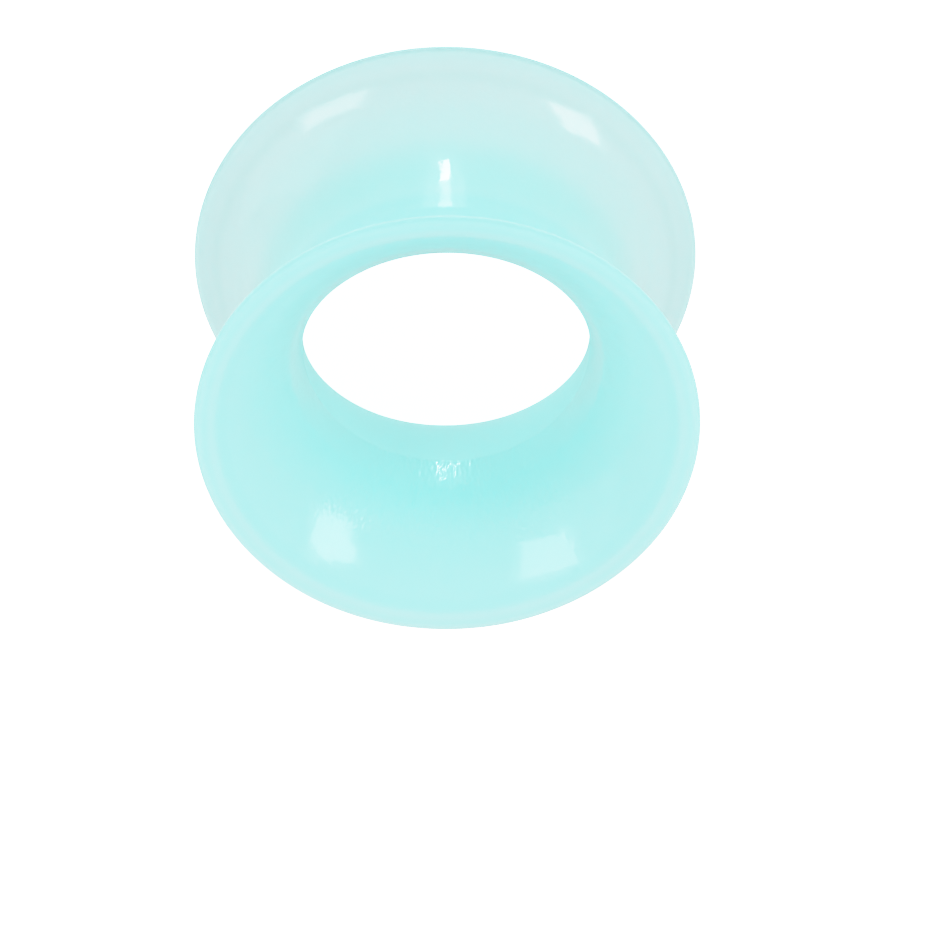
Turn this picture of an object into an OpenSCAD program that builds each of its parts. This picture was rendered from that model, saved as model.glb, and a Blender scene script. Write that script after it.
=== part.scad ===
// Double-flared ear tunnel: one soft moulding, open from end to end.
// It stands on its lower, larger flare with its axis along Z and the bottom of that flare's lip at Z = 0.

/* [Waist] */
// Outside diameter of the waist, which the lobe closes around
waist_d = 12.0; // [10:0.5:16]
// Wall thickness at the middle of the waist
waist_wall = 1.28; // [1.2:0.01:1.4]
// Length of the straight band around the outside of the waist
waist_band = 0.66; // [0.4:0.02:1]
// Length of the straight band at the narrowest part of the throat
throat_band = 0.5; // [0.3:0.05:0.8]

/* [Flares] */
// Length of the tunnel over both lips
overall_l = 10.0; // [9.6:0.1:10.6]
// How far the lower flare stands out past the waist, all round
lower_flare_out = 2.37; // [2.1:0.01:2.6]
// How far the upper flare stands out past the waist, all round
upper_flare_out = 2.2; // [2.1:0.01:2.6]

/* [Lips] */
// Thickness of the rounded outer edge of each flare
edge_t = 0.38; // [0.3:0.02:0.5]
// Width of the narrow land inside that edge
land_w = 0.42; // [0.3:0.02:0.5]
// Lean of the land from the axis, in degrees: 90 is square to the axis
land_lean = 80; // [76:1:86]
// Radius of the shoulder where the inside curve turns into the land
shoulder_r = 0.25; // [0.15:0.05:0.35]

/* [Curves] */
// Radius of the outside curve where it leaves the waist
cove_r = 6.4; // [6:0.1:6.8]
// Lean from the axis, in degrees, at which the outside curve tightens towards the lip
cove_turn = 28; // [24:1:30]
// Radius of the inside curve where it leaves the throat
throat_curve_r = 4.9; // [4.7:0.1:5.1]
// Lean from the axis, in degrees, at which the inside curve changes towards the lip
throat_turn = 33; // [30:1:35]

/* [Hidden] */
$fn = 180;
waist_r = waist_d / 2;
throat_r = waist_r - waist_wall;
edge_r = edge_t / 2;
half_l = overall_l / 2;
// Largest turn between two points of an arc, in degrees, on the long curves, the shoulder and the edge
curve_step = 3;
shoulder_step = 4;
edge_step = 10;

// First centres of the outside curve and of the inside curve
cove_centre = [waist_r + cove_r, waist_band / 2];
throat_centre = [throat_r + throat_curve_r, throat_band / 2];

// A direction in the section: a lean of 0 faces the axis, 90 runs up along it and 180 faces away from it
function along(lean) = [-cos(lean), sin(lean)];
function lean_of(direction) = atan2(direction.y, -direction.x);

// Middle of the outer edge's rounding, for a flare that stands out this far
function edge_centre(flare_out) = [waist_r + flare_out - edge_r, half_l - edge_r];

// Middle of the shoulder's rounding, one land's width in from the edge
function shoulder_centre(flare_out) =
    edge_centre(flare_out)
    + (edge_r - shoulder_r) * along(land_lean)
    - land_w * [sin(land_lean), cos(land_lean)];

// How far a curve's centre moves along its lean where its radius changes, so that its second arc meets a
// rounding smoothly: side is 1 where the two touch back to back, and -1 where the rounding is inside the arc
function centre_shift(centre, radius, lean, rounding, rounding_r, side) =
    let (away = centre - rounding, span = radius + side * rounding_r)
    (span * span - away * away) / (2 * (away * along(lean) + span));

// A curve from the waist to a rounding, as two arcs: [centre, radius, lean at its start, lean at its end]
function curve_to(rounding, rounding_r, side, centre, radius, turn) =
    let (
        shift = centre_shift(centre, radius, turn, rounding, rounding_r, side),
        new_centre = centre + shift * along(turn)
    )
    [
        [centre, radius, 0, turn],
        [new_centre, radius - shift, turn, lean_of(rounding - new_centre)]
    ];

// Points along an arc, both ends included
function arc_points(arc, step) =
    let (turn = arc[3] - arc[2], count = max(1, ceil(abs(turn) / step)))
    [for (i = [0 : count]) arc[0] + arc[1] * along(arc[2] + turn * i / count)];

// Points without the last one, where the next arc starts on it
function open_end(points) = [for (i = [0 : len(points) - 2]) points[i]];
function backwards(points) = [for (i = [len(points) - 1 : -1 : 0]) points[i]];
function mirrored(points) = [for (p = points) [p.x, -p.y]];

// The outline of one flare's half of the wall, from the throat over the lip to the waist
function flare_outline(flare_out) =
    let (
        edge = edge_centre(flare_out),
        shoulder = shoulder_centre(flare_out),
        inside = curve_to(shoulder, shoulder_r, -1, throat_centre, throat_curve_r, throat_turn),
        outside = curve_to(edge, edge_r, 1, cove_centre, cove_r, cove_turn)
    )
    concat(
        open_end(arc_points(inside[0], curve_step)),
        open_end(arc_points(inside[1], curve_step)),
        arc_points([shoulder, shoulder_r, inside[1][3], land_lean], shoulder_step),
        arc_points([edge, edge_r, land_lean, outside[1][3] + 180], edge_step),
        backwards(open_end(arc_points(outside[1], curve_step))),
        backwards(open_end(arc_points(outside[0], curve_step)))
    );

// The wall of the tunnel in section, to the right of the axis
module wall_section() {
    polygon(concat(
        flare_outline(upper_flare_out),
        backwards(mirrored(flare_outline(lower_flare_out)))
    ));
}

module silicone_tunnel() {
    color("paleturquoise")
    translate([0, 0, half_l])
    rotate_extrude() wall_section();
}

silicone_tunnel();
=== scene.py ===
import math

import bmesh
import bpy
from mathutils import Matrix, Vector


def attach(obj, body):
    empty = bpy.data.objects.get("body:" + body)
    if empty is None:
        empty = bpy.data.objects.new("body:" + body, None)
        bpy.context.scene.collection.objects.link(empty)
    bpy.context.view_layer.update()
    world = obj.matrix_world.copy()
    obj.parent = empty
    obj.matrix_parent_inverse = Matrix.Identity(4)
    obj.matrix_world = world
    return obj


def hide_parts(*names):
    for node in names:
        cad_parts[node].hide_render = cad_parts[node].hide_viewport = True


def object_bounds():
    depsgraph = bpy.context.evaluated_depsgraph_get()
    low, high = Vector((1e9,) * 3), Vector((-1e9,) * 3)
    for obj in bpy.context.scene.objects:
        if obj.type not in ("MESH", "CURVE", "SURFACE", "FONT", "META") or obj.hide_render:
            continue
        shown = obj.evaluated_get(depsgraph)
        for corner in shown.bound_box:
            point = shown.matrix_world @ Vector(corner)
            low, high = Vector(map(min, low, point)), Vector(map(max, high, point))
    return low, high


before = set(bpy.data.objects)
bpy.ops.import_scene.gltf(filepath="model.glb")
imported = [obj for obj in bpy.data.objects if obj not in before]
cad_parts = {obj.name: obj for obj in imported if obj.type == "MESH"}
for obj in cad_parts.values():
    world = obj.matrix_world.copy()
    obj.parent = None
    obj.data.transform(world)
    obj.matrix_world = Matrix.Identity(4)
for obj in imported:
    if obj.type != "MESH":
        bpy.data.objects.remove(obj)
cad_low, cad_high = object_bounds()

MM = 0.001

# The moulding's sizes in millimetres; its length and its larger flare come from the frame
NODE = "silicone_tunnel"
OVERALL_L = (cad_high.z - cad_low.z) / MM
LOWER_FLARE_R = (cad_high.x - cad_low.x) / 2 / MM
UPPER_FLARE_R = 8.2
WAIST_R = 6.0
WAIST_WALL = 1.28
WAIST_BAND = 0.66
THROAT_BAND = 0.5
EDGE_T = 0.38
LAND_W = 0.42
LAND_LEAN = 80.0
SHOULDER_R = 0.25
COVE_R = 6.4
COVE_TURN = 28.0
THROAT_CURVE_R = 4.9
THROAT_TURN = 33.0

HALF_L = OVERALL_L / 2
EDGE_R = EDGE_T / 2
THROAT_R = WAIST_R - WAIST_WALL

# Largest turn between two points of the outline, in degrees, and steps round the axis
CURVE_STEP = 1.5
ROUNDING_STEP = 6.0
STEPS_ROUND = 288

# Faint unevenness of the soft casting: its depth and the size of its waves in millimetres, and its seed
UNEVENNESS = 0.016
UNEVENNESS_SIZE = 3.0
UNEVENNESS_SEED = 7.0
UNEVENNESS_DETAIL = 1.0

# Points of the skin that are closer than this, in metres, are joined
WELD_GAP = 1e-7

# Camera, in degrees and millimetres: its height over the horizon, its roll off level, its distance from the
# tunnel's middle, its lens and film, and how far right of the picture's middle and above it the tunnel's lies
CAMERA_ELEVATION = 53.917
CAMERA_ROLL = -0.925
CAMERA_DISTANCE = 247.139
CAMERA_LENS = 284.79
CAMERA_SENSOR = 36.0
MIDDLE_RIGHT = -0.948
MIDDLE_UP = 4.402

# The camera sees from here to here, as shares of its distance
NEAR_SHARE = 0.1
FAR_SHARE = 100

# How bright the white surround is beside white paper, on the tunnel and in the picture
SURROUND = 0.762
SURROUND_SEEN = 1.0

# The table: half its width in metres, its grey level and roughness, and how brightly it glows, on the tunnel
# and in the picture
TABLE_HALF = 2.0
TABLE_GREY = 0.9
TABLE_ROUGHNESS = 0.6
TABLE_GLOW = 0.3
TABLE_WHITE = 1.2

# Lights, all at one distance in millimetres. Columns: name; degrees to the right of the camera and above it;
# degrees wide and high; times as bright as white paper; degrees turned
LIGHT_DISTANCE = 400.0
LIGHTS = (
    ("Left soft box", -38, 3, 21, 19, 3.1, 35),
    ("Left soft box's spill", -38, 3, 28, 25, 0.85, 35),
    ("Right soft box", 50.5, 5, 25, 17, 4.1, 40),
    ("Right soft box's spill", 50.5, 5, 32, 23, 0.9, 40),
    ("Left fill", -75, 10, 50, 50, 0.4, 0),
    ("Top light", 1, 97, 3.5, 17, 9.5, 0),
    ("Top glow", 1, 108, 4, 36, 2.2, 0),
    ("Top haze", 2, 103, 14, 44, 0.8, 0),
)
# A light is far out to the side where its direction and the picture's right agree by more than this
FAR_OUT = 0.9

# The film's answer to light, as (light, tone) on a scale whose white paper is 1; it is full at FILM_WHITE
FILM_WHITE = 1.6
FILM_TONES = ((0.75, 0.745), (0.9, 0.86), (1.0, 0.905), (1.2, 0.96))

# Silicone: its tint at so many millimetres in from the lip's edge, on the inside of the wall, on the lower
# half's outside and on the upper half's outside. Besides the silicone's own colour, deeper where the wall is
# thick, the tints carry painted light: painted shade along the lip's edge, a painted pale line on the
# inside's shoulder, painted shade in the outside's crease and painted shade over the upper half's outside
INSIDE_TINTS_AND_PAINTED_LIGHT = (
    # The first stops are painted shade along the lip's edge, deeper in colour than the wall beside it
    (0.0, (0.22, 0.49, 0.48)),
    (0.07, (0.30, 0.62, 0.61)),
    (0.2, (0.365, 0.705, 0.70)),
    (0.35, (0.385, 0.735, 0.73)),
    # Painted light: a pale line along the shoulder, where light shows through the thin wall
    (0.55, (0.435, 0.75, 0.75)),
    (0.8, (0.40, 0.765, 0.76)),
    (1.1, (0.42, 0.775, 0.77)),
    (2.0, (0.455, 0.805, 0.795)),
    (2.9, (0.475, 0.84, 0.83)),
    (3.48, (0.435, 0.855, 0.845)),
)
OUTSIDE_TINTS_AND_PAINTED_SHADE = (
    # The first stops are painted shade along the lip's edge, deeper in colour than the wall beside it
    (0.0, (0.28, 0.470, 0.475)),
    (0.1, (0.45, 0.655, 0.655)),
    (0.27, (0.525, 0.715, 0.720)),
    (0.5, (0.565, 0.740, 0.745)),
    # Painted shade: a darker line in the crease where the cove meets the lip's rounding
    (0.75, (0.545, 0.725, 0.725)),
    (1.0, (0.565, 0.740, 0.745)),
    (1.5, (0.54, 0.745, 0.745)),
    (2.0, (0.50, 0.740, 0.735)),
    (2.37, (0.38, 0.740, 0.725)),
)
# The upper half's outside is deeper all over: painted shade under the upper flare, which also damps the upper
# lip's glow
UPPER_OUTSIDE_PAINTED_SHADE = (
    # The first stops are painted shade along the lip's edge, deeper in colour than the wall beside it
    (0.0, (0.22, 0.49, 0.48)),
    (0.1, (0.36, 0.66, 0.65)),
    (0.5, (0.43, 0.735, 0.735)),
    (1.2, (0.39, 0.730, 0.725)),
    (1.9, (0.31, 0.720, 0.715)),
    (2.37, (0.36, 0.735, 0.725)),
)
# Heights in millimetres between which the outside turns from its lower tint to its upper one, with its
# painted shade
UPPER_SHADE_FROM = (4.3, 5.6)

# Between these heights the throat's inside changes: below them it is paler and duller
THROAT_CHANGE = (5.1, 5.3)
PALER = (0.525, 0.87, 0.86)

# How far light spreads inside, in millimetres, and the shares of that for red, green and blue
SCATTER = 2.5
SCATTER_SHARES = (0.7, 1.0, 1.0)

ROUGHNESS = 0.45
SPECULAR = 0.1
SILICONE_IOR = 1.41

# The shine over it: its roughness; where it comes in, in millimetres from the lip's edge; how near to grazing
# it fades, from 0 face on to 1 edge on; and how far in from the lip's edge that fading sets in
SHINE_ROUGHNESS = 0.06
SHINE_FROM = (0.0, 0.5)
SHINE_FADES = (0.65, 0.95)
OFF_LIP = (0.9, 1.5)

# Fine relief, in millimetres: an even grain, and drawn-out marks on the inside, which start so far in from
# the lip's edge and so far over to the +Y side
GRAIN_DEPTH = 0.01
GRAIN_SIZE = (0.5, 0.5, 0.5)
GRAIN_DETAIL = 3.0
MARK_DEPTH = 0.02
MARK_SIZE = (0.11, 0.11, 0.33)
MARK_DETAIL = 0.0
MARKS_FROM = (1.9, 2.7)
MARKS_SIDE = (3.6, 4.3)


def along(lean):
    """A direction in the section: 0 degrees faces the axis, 90 runs up along it and 180 faces outwards."""
    angle = math.radians(lean)
    return Vector((-math.cos(angle), math.sin(angle)))


def lean_of(direction):
    return math.degrees(math.atan2(direction.y, -direction.x))


def curve_to(rounding, rounding_r, side, centre, radius, turn):
    """Two arcs from the waist to a rounding, each (centre, radius, lean at its start, lean at its end).

    side is 1 where curve and rounding touch back to back, and -1 where the rounding is inside the arc.
    """
    away = centre - rounding
    span = radius + side * rounding_r
    shift = (span * span - away.dot(away)) / (2 * (away.dot(along(turn)) + span))
    new_centre = centre + shift * along(turn)
    return [
        (centre, radius, 0.0, turn),
        (new_centre, radius - shift, turn, lean_of(rounding - new_centre)),
    ]


def arc_points(arc, step):
    """Points along an arc, its start included and its end left to the next arc."""
    centre, radius, start, end = arc
    count = max(1, math.ceil(abs(end - start) / step))
    return [centre + radius * along(start + (end - start) * i / count) for i in range(count)]


def reversed_arc(arc):
    centre, radius, start, end = arc
    return (centre, radius, end, start)


def flare_outline(flare_r):
    """The outline of one flare's half of the wall, from the throat over the lip to the waist."""
    edge = Vector((flare_r - EDGE_R, HALF_L - EDGE_R))
    lean = math.radians(LAND_LEAN)
    shoulder = (
        edge
        + (EDGE_R - SHOULDER_R) * along(LAND_LEAN)
        - LAND_W * Vector((math.sin(lean), math.cos(lean)))
    )
    throat = Vector((THROAT_R + THROAT_CURVE_R, THROAT_BAND / 2))
    cove = Vector((WAIST_R + COVE_R, WAIST_BAND / 2))
    inside = curve_to(shoulder, SHOULDER_R, -1, throat, THROAT_CURVE_R, THROAT_TURN)
    outside = curve_to(edge, EDGE_R, 1, cove, COVE_R, COVE_TURN)
    waist_end = outside[0][0] + outside[0][1] * along(0)
    return (
        arc_points(inside[0], CURVE_STEP)
        + arc_points(inside[1], CURVE_STEP)
        + arc_points((shoulder, SHOULDER_R, inside[1][3], LAND_LEAN), ROUNDING_STEP)
        + [shoulder + SHOULDER_R * along(LAND_LEAN)]
        + arc_points((edge, EDGE_R, LAND_LEAN, outside[1][3] + 180), ROUNDING_STEP)
        + arc_points(reversed_arc(outside[1]), CURVE_STEP)
        + arc_points(reversed_arc(outside[0]), CURVE_STEP)
        + [waist_end]
    )


def wall_outline():
    """The closed outline of the wall, as points (distance from the axis, height over the middle)."""
    upper = flare_outline(UPPER_FLARE_R)
    lower = [Vector((p.x, -p.y)) for p in flare_outline(LOWER_FLARE_R)]
    return upper + lower[::-1]


def places_on_wall(points):
    """For each point of the outline, its distance in from the lip's edge, and 1.0 if it is on the inside."""
    half = len(points) // 2
    upper_lip = max(range(half), key=lambda i: points[i].x)
    lower_lip = max(range(half, len(points)), key=lambda i: points[i].x)
    from_edge = [(UPPER_FLARE_R if p.y > 0 else LOWER_FLARE_R) - p.x for p in points]
    inside = [float(i <= upper_lip or i >= lower_lip) for i in range(len(points))]
    return from_edge, inside


def turned_by(angle, across, over):
    """Two square directions, turned together by this angle."""
    return (
        math.cos(angle) * across + math.sin(angle) * over,
        math.cos(angle) * over - math.sin(angle) * across,
    )


def placed(thing, across, over, out, place):
    """Put a thing into the scene at a place in millimetres, with its X, Y and Z along these directions."""
    turn = Matrix((across, over, out)).transposed().to_4x4()
    thing.matrix_world = Matrix.Translation(place * MM) @ turn
    bpy.context.scene.collection.objects.link(thing)


def aim_camera():
    """A long lens, above the floor and turned so that the nearer flare lies low in the picture."""
    elevation = math.radians(CAMERA_ELEVATION)
    back = Vector((0, -math.cos(elevation), math.sin(elevation)))
    up = -Vector((0, math.sin(elevation), math.cos(elevation)))
    right, up = turned_by(math.radians(CAMERA_ROLL), up.cross(back), up)
    lens = bpy.data.cameras.new("Camera")
    lens.lens = CAMERA_LENS
    lens.sensor_width = CAMERA_SENSOR
    lens.clip_start = CAMERA_DISTANCE * MM * NEAR_SHARE
    lens.clip_end = CAMERA_DISTANCE * MM * FAR_SHARE
    camera = bpy.data.objects.new("Camera", lens)
    middle = Vector((0, 0, HALF_L))
    place = middle + CAMERA_DISTANCE * back - MIDDLE_RIGHT * right - MIDDLE_UP * up
    placed(camera, right, up, back, place)
    bpy.context.scene.camera = camera
    return right, up, back


def box_side(degrees):
    """A soft box's side in metres, for its width or height in degrees as seen from the tunnel."""
    return 2 * LIGHT_DISTANCE * math.tan(math.radians(degrees / 2)) * MM


def soft_box(axes, name, sideways, upwards, width, height, brightness, turned):
    """One light of the table above, seen by the tunnel and its reflections but not by the camera."""
    right, up, back = axes
    aside, above = math.radians(sideways), math.radians(upwards)
    out = (
        math.sin(aside) * math.cos(above) * right
        + math.sin(above) * up
        + math.cos(aside) * math.cos(above) * back
    )
    across = (right - right.dot(out) * out).normalized()
    if abs(right.dot(out)) > FAR_OUT:
        across = up.cross(out)
    across, over = turned_by(math.radians(turned), across, out.cross(across))
    lamp = bpy.data.lights.new(name, "AREA")
    lamp.shape = "RECTANGLE"
    lamp.size = box_side(width)
    lamp.size_y = box_side(height)
    lamp.energy = brightness * math.pi * lamp.size * lamp.size_y
    box = bpy.data.objects.new(name, lamp)
    box.visible_camera = False
    placed(box, across, over, out, Vector((0, 0, HALF_L)) + LIGHT_DISTANCE * out)


def socket(tree, name):
    """The identifier of a tree's named input."""
    return next(s.identifier for s in tree.interface.items_tree if s.name == name and s.in_out == "INPUT")


def moulding_tree():
    """Geometry Nodes that turn the wall's outline round the axis, faintly uneven like a soft casting."""
    tree = bpy.data.node_groups.new("Turned moulding", "GeometryNodeTree")
    inputs = (
        ("Outline", "NodeSocketGeometry", None),
        ("Turning radius", "NodeSocketFloat", WAIST_R * MM),
        ("Steps round", "NodeSocketInt", STEPS_ROUND),
        ("Unevenness", "NodeSocketFloat", 0.0),
        ("Unevenness size", "NodeSocketFloat", 1.0),
        ("Seed", "NodeSocketFloat", 0.0),
        ("Material", "NodeSocketMaterial", None),
    )
    for name, kind, value in inputs:
        made = tree.interface.new_socket(name, in_out="INPUT", socket_type=kind)
        if value is not None:
            made.default_value = value
    tree.interface.new_socket("Skin", in_out="OUTPUT", socket_type="NodeSocketGeometry")
    add, link = tree.nodes.new, tree.links.new
    given = add("NodeGroupInput")

    # The outline, carried round a ring
    profile = add("GeometryNodeMeshToCurve")
    link(given.outputs["Outline"], profile.inputs["Mesh"])
    ring = add("GeometryNodeCurvePrimitiveCircle")
    link(given.outputs["Steps round"], ring.inputs["Resolution"])
    link(given.outputs["Turning radius"], ring.inputs["Radius"])
    upright = add("GeometryNodeSetCurveNormal")
    upright.mode = "Z_UP"
    link(ring.outputs["Curve"], upright.inputs["Curve"])
    turned = add("GeometryNodeCurveToMesh")
    link(upright.outputs["Curve"], turned.inputs["Curve"])
    link(profile.outputs["Curve"], turned.inputs["Profile Curve"])

    # Shallow waves, which push the skin in and out along its normals
    waves = add("ShaderNodeTexNoise")
    waves.noise_dimensions = "4D"
    waves.inputs["Detail"].default_value = UNEVENNESS_DETAIL
    link(given.outputs["Seed"], waves.inputs["W"])
    per_size = add("ShaderNodeMath")
    per_size.operation = "DIVIDE"
    per_size.inputs[0].default_value = 1.0
    link(given.outputs["Unevenness size"], per_size.inputs[1])
    link(per_size.outputs[0], waves.inputs["Scale"])
    level = add("ShaderNodeMath")
    level.operation = "SUBTRACT"
    level.inputs[1].default_value = 0.5
    link(waves.outputs["Fac"], level.inputs[0])
    depth = add("ShaderNodeMath")
    depth.operation = "MULTIPLY"
    link(level.outputs[0], depth.inputs[0])
    link(given.outputs["Unevenness"], depth.inputs[1])
    facing = add("GeometryNodeInputNormal")
    push = add("ShaderNodeVectorMath")
    push.operation = "SCALE"
    link(facing.outputs["Normal"], push.inputs[0])
    link(depth.outputs[0], push.inputs["Scale"])
    uneven = add("GeometryNodeSetPosition")
    link(turned.outputs["Mesh"], uneven.inputs["Geometry"])
    link(push.outputs[0], uneven.inputs["Offset"])

    smooth = add("GeometryNodeSetShadeSmooth")
    link(uneven.outputs["Geometry"], smooth.inputs["Geometry"])
    real = add("GeometryNodeRealizeInstances")
    link(smooth.outputs["Geometry"], real.inputs["Geometry"])
    coated = add("GeometryNodeSetMaterial")
    link(real.outputs["Geometry"], coated.inputs["Geometry"])
    link(given.outputs["Material"], coated.inputs["Material"])
    out = add("NodeGroupOutput")
    link(coated.outputs["Geometry"], out.inputs["Skin"])
    return tree


def outline_mesh():
    """The wall's outline as a closed wire, drawn about the turning radius."""
    points = wall_outline()
    wire = bpy.data.meshes.new("Wall outline")
    spots = [((p.x - WAIST_R) * MM, -p.y * MM, 0) for p in points]
    wire.from_pydata(spots, [(i, (i + 1) % len(spots)) for i in range(len(spots))], [])
    from_edge, inside = places_on_wall(points)
    wire.attributes.new("from_edge", "FLOAT", "POINT").data.foreach_set("value", from_edge)
    wire.attributes.new("inside", "FLOAT", "POINT").data.foreach_set("value", inside)
    return wire


def moulded_tunnel(material):
    """The whole tunnel as one closed skin, standing on its larger flare."""
    maker = bpy.data.objects.new("maker", outline_mesh())
    bpy.context.scene.collection.objects.link(maker)
    tree = moulding_tree()
    turning = maker.modifiers.new("Turning", "NODES")
    turning.node_group = tree
    turning[socket(tree, "Unevenness")] = UNEVENNESS * MM
    turning[socket(tree, "Unevenness size")] = UNEVENNESS_SIZE * MM
    turning[socket(tree, "Seed")] = UNEVENNESS_SEED
    turning[socket(tree, "Material")] = material
    graph = bpy.context.evaluated_depsgraph_get()
    skin = bpy.data.meshes.new_from_object(maker.evaluated_get(graph))
    bpy.data.objects.remove(maker)
    skin.transform(Matrix.Translation((0, 0, HALF_L * MM)))
    shell = bmesh.new()
    shell.from_mesh(skin)
    bmesh.ops.remove_doubles(shell, verts=shell.verts, dist=WELD_GAP)
    bmesh.ops.recalc_face_normals(shell, faces=shell.faces)
    shell.to_mesh(skin)
    shell.free()
    skin.name = "tunnel_skin"
    tunnel = bpy.data.objects.new("tunnel_skin", skin)
    bpy.context.scene.collection.objects.link(tunnel)
    return tunnel


def ramp_of(tree, value, stops):
    """A smooth ramp over a value from 0 to its last stop, through (value, colour) stops."""
    top = stops[-1][0]
    scaled = tree.nodes.new("ShaderNodeMath")
    scaled.operation = "DIVIDE"
    scaled.inputs[1].default_value = top
    tree.links.new(value, scaled.inputs[0])
    node = tree.nodes.new("ShaderNodeValToRGB")
    ramp = node.color_ramp
    ramp.interpolation = "CARDINAL"
    while len(ramp.elements) < len(stops):
        ramp.elements.new(0.5)
    for spot, (where, colour) in zip(ramp.elements, stops):
        spot.position = where / top
        spot.color = (*colour, 1.0)
    tree.links.new(scaled.outputs[0], node.inputs["Fac"])
    return node.outputs["Color"]


def named(tree, name):
    """A value that the skin carries at every point."""
    node = tree.nodes.new("ShaderNodeAttribute")
    node.attribute_name = name
    return node.outputs["Fac"]


def eased(tree, value, ends):
    """A soft step from 0 to 1 as a value runs between these ends."""
    step = tree.nodes.new("ShaderNodeMapRange")
    step.interpolation_type = "SMOOTHSTEP"
    step.inputs["From Min"].default_value = ends[0]
    step.inputs["From Max"].default_value = ends[1]
    tree.links.new(value, step.inputs["Value"])
    return step.outputs["Result"]


def product(tree, first, *others):
    """These values multiplied together."""
    for other in others:
        times = tree.nodes.new("ShaderNodeMath")
        times.operation = "MULTIPLY"
        tree.links.new(first, times.inputs[0])
        tree.links.new(other, times.inputs[1])
        first = times.outputs[0]
    return first


def less(tree, first, taken):
    """The first value less the taken one, and no less than 0."""
    minus = tree.nodes.new("ShaderNodeMath")
    minus.operation = "SUBTRACT"
    minus.use_clamp = True
    tree.links.new(first, minus.inputs[0])
    tree.links.new(taken, minus.inputs[1])
    return minus.outputs[0]


def blended(tree, part, first, second):
    """One colour turning into another as part goes from 0 to 1; the second may be a plain colour."""
    mix = tree.nodes.new("ShaderNodeMix")
    mix.data_type = "RGBA"
    tree.links.new(part, mix.inputs["Factor"])
    tree.links.new(first, mix.inputs["A"])
    if isinstance(second, tuple):
        mix.inputs["B"].default_value = (*second, 1.0)
    else:
        tree.links.new(second, mix.inputs["B"])
    return mix.outputs["Result"]


def speckled(tree, place, sizes, detail):
    """Noise over the skin, with spots of these sizes in millimetres along X, Y and Z."""
    spread = tree.nodes.new("ShaderNodeMapping")
    spread.inputs["Scale"].default_value = [1 / (size * MM) for size in sizes]
    tree.links.new(place, spread.inputs["Vector"])
    noise = tree.nodes.new("ShaderNodeTexNoise")
    noise.inputs["Scale"].default_value = 1.0
    noise.inputs["Detail"].default_value = detail
    tree.links.new(spread.outputs["Vector"], noise.inputs["Vector"])
    return noise.outputs["Fac"]


def metres(ends):
    return [end * MM for end in ends]


def translucent_silicone():
    """Soft aqua silicone: light spreads inside it, it is deep at the waist and pale at the lips, and it
    carries painted shade along the lip's edge, in the outside's crease and over the upper half's outside, and
    a painted pale line on the inside's shoulder.
    """
    material = bpy.data.materials.new("Translucent silicone")
    material.use_nodes = True
    tree = material.node_tree
    add, link = tree.nodes.new, tree.links.new
    body = tree.nodes["Principled BSDF"]
    place = add("ShaderNodeTexCoord").outputs["Object"]
    apart = add("ShaderNodeSeparateXYZ")
    link(place, apart.inputs[0])
    aside, height = apart.outputs["Y"], apart.outputs["Z"]
    from_edge, inside = named(tree, "from_edge"), named(tree, "inside")
    deep_in = eased(tree, from_edge, MARKS_FROM)
    above_change = eased(tree, height, metres(THROAT_CHANGE))
    throat_below = product(tree, less(tree, inside, above_change), deep_in)

    # The outside's tint, with painted shade along the lip's edge and in the crease, turning into painted
    # shade over the upper half; the inside's tint, with painted shade along the lip's edge and a painted pale
    # line on the shoulder
    outside_tint_and_shade = blended(
        tree,
        eased(tree, height, metres(UPPER_SHADE_FROM)),
        ramp_of(tree, from_edge, OUTSIDE_TINTS_AND_PAINTED_SHADE),
        ramp_of(tree, from_edge, UPPER_OUTSIDE_PAINTED_SHADE),
    )
    inside_tint_and_light = blended(tree, throat_below, ramp_of(tree, from_edge, INSIDE_TINTS_AND_PAINTED_LIGHT), PALER)
    link(blended(tree, inside, outside_tint_and_shade, inside_tint_and_light), body.inputs["Base Color"])

    # An even grain, and fine marks inside the upper half on one side, where the mould's core drew out
    grain = speckled(tree, place, GRAIN_SIZE, GRAIN_DETAIL)
    marks = speckled(tree, place, MARK_SIZE, MARK_DETAIL)
    one_side = eased(tree, aside, metres(MARKS_SIDE))
    marked = product(tree, marks, deep_in, one_side, inside, above_change)
    surface = add("ShaderNodeMath")
    surface.operation = "MULTIPLY_ADD"
    link(marked, surface.inputs[0])
    surface.inputs[1].default_value = MARK_DEPTH / GRAIN_DEPTH
    link(grain, surface.inputs[2])
    relief = add("ShaderNodeBump")
    relief.inputs["Strength"].default_value = 1.0
    relief.inputs["Distance"].default_value = GRAIN_DEPTH * MM
    link(surface.outputs[0], relief.inputs["Height"])
    link(relief.outputs["Normal"], body.inputs["Normal"])
    link(relief.outputs["Normal"], body.inputs["Coat Normal"])

    body.inputs["Roughness"].default_value = ROUGHNESS
    body.inputs["Specular IOR Level"].default_value = SPECULAR
    body.inputs["IOR"].default_value = SILICONE_IOR
    body.inputs["Subsurface Weight"].default_value = 1.0
    body.inputs["Subsurface Radius"].default_value = SCATTER_SHARES
    body.inputs["Subsurface Scale"].default_value = SCATTER * MM

    # The shine lessens on the lip's edge, at grazing angles away from the lip, and low in the throat
    grazing = add("ShaderNodeLayerWeight")
    faded = eased(tree, grazing.outputs["Facing"], SHINE_FADES)
    dulled = product(tree, faded, eased(tree, from_edge, OFF_LIP))
    shine = less(tree, eased(tree, from_edge, SHINE_FROM), dulled)
    link(less(tree, shine, throat_below), body.inputs["Coat Weight"])
    body.inputs["Coat Roughness"].default_value = SHINE_ROUGHNESS
    return material


def by_looker(tree, lighting, seen):
    """One value for the light that falls on the tunnel, and another for what the camera sees directly."""
    path = tree.nodes.new("ShaderNodeLightPath")
    choice = tree.nodes.new("ShaderNodeMapRange")
    choice.inputs["To Min"].default_value = lighting
    choice.inputs["To Max"].default_value = seen
    tree.links.new(path.outputs["Is Camera Ray"], choice.inputs["Value"])
    return choice.outputs["Result"]


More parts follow.
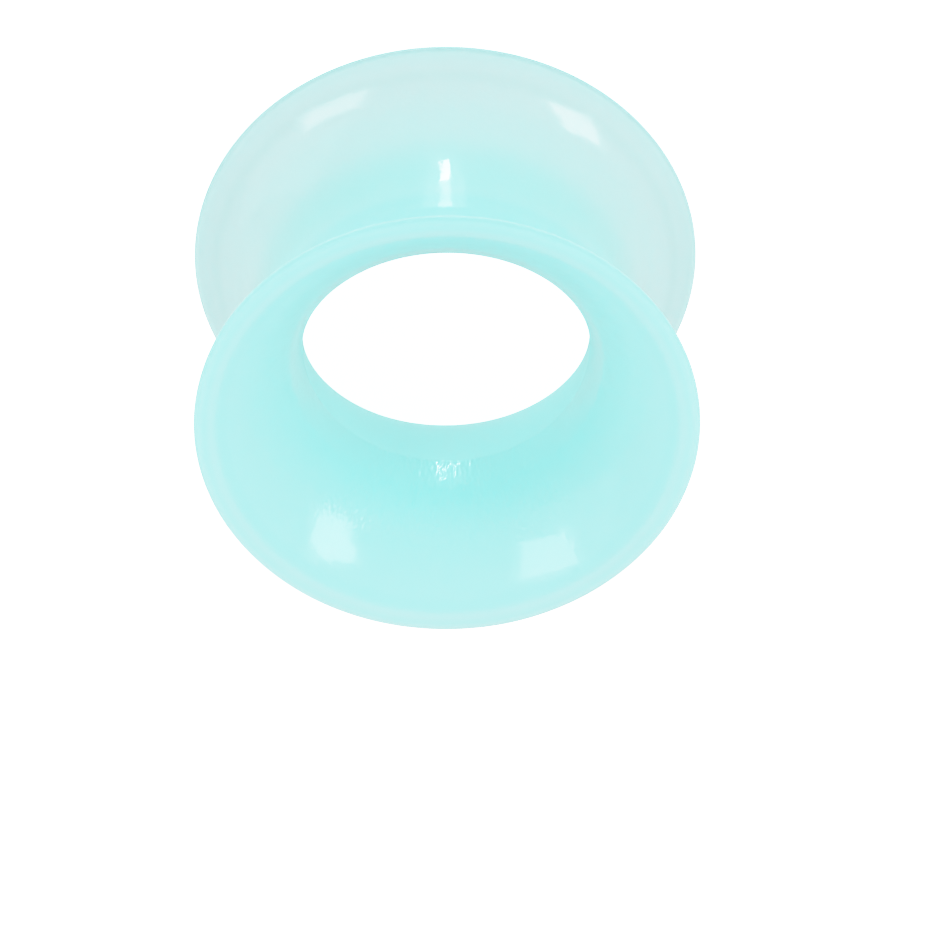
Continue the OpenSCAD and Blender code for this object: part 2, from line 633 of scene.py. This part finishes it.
def pale_floor():
    """A wide, plain, near-white table top that glows a little, as a light table does."""
    top = bpy.data.meshes.new("Floor")
    corners = [
        (-TABLE_HALF, -TABLE_HALF, 0),
        (TABLE_HALF, -TABLE_HALF, 0),
        (TABLE_HALF, TABLE_HALF, 0),
        (-TABLE_HALF, TABLE_HALF, 0),
    ]
    top.from_pydata(corners, [], [(0, 1, 2, 3)])
    white = bpy.data.materials.new("White table")
    white.use_nodes = True
    tree = white.node_tree
    body = tree.nodes["Principled BSDF"]
    body.inputs["Base Color"].default_value = (TABLE_GREY, TABLE_GREY, TABLE_GREY, 1)
    body.inputs["Roughness"].default_value = TABLE_ROUGHNESS
    body.inputs["Emission Color"].default_value = (1, 1, 1, 1)
    tree.links.new(by_looker(tree, TABLE_GLOW, TABLE_WHITE), body.inputs["Emission Strength"])
    top.materials.append(white)
    floor = bpy.data.objects.new("Floor", top)
    bpy.context.scene.collection.objects.link(floor)
    floor.visible_glossy = False
    floor.visible_shadow = False


def studio(axes):
    """Even white light all round, and the lights of the table above."""
    world = bpy.data.worlds.new("Studio")
    world.use_nodes = True
    tree = world.node_tree
    background = tree.nodes["Background"]
    background.inputs["Color"].default_value = (1, 1, 1, 1)
    tree.links.new(by_looker(tree, SURROUND, SURROUND_SEEN), background.inputs["Strength"])
    bpy.context.scene.world = world
    for light in LIGHTS:
        soft_box(axes, *light)


def develop(scene):
    """Tones laid out as by a camera's film: straight up to light grey, then gently rolled off into white."""
    view = scene.view_settings
    view.view_transform = "Standard"
    view.use_curve_mapping = True
    film = view.curve_mapping
    film.white_level = (FILM_WHITE,) * 3
    tones = [(0.0, 0.0)] + [(light / FILM_WHITE, tone) for light, tone in FILM_TONES] + [(1.0, 1.0)]
    points = film.curves[3].points
    while len(points) < len(tones):
        points.new(0.5, 0.5)
    for point, spot in zip(points, tones):
        point.location = spot
    film.update()


develop(bpy.context.scene)
studio(aim_camera())
pale_floor()

tunnel = moulded_tunnel(translucent_silicone())
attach(tunnel, "root")
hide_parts(NODE)
